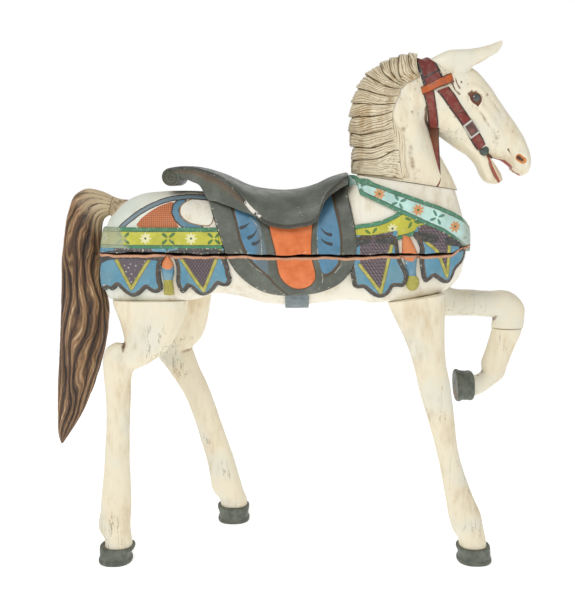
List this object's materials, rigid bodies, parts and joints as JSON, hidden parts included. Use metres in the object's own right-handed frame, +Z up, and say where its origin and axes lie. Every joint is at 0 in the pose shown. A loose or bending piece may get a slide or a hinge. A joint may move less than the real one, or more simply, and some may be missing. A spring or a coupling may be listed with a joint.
{
  "type": "carousel horse",
  "caption": "Carved wooden carousel horse with one foreleg raised, in aged cream paint, with a green-grey saddle, painted trappings, a bridle and a dark carved tail.",
  "frame": {"origin": "on the ground, below the middle of the horse's outline", "axes": "+X towards the horse's head, +Y towards the horse's left side, +Z up"},
  "size_m": [1.2825, 0.359, 1.3297],
  "materials": {
    "painted_body": "aged paint in cream, blue, orange, yellow-green and green-grey, with brown glaze in the carving, cracks and chips",
    "cream_paint": "aged satin cream paint with brown glaze in the creases, and painted green-grey hoofs",
    "brown_tail": "dark brown stain rubbed back to tan on the ridges"
  },
  "bodies": {
    "root": {"body": "painted_body", "head_and_neck": "cream_paint", "tail": "brown_tail", "hind_leg_right": "cream_paint", "hind_leg_left": "cream_paint", "foreleg_right": "cream_paint", "foreleg_left_upper": "cream_paint", "foreleg_left_lower": "cream_paint"}
  },
  "joints": []
}
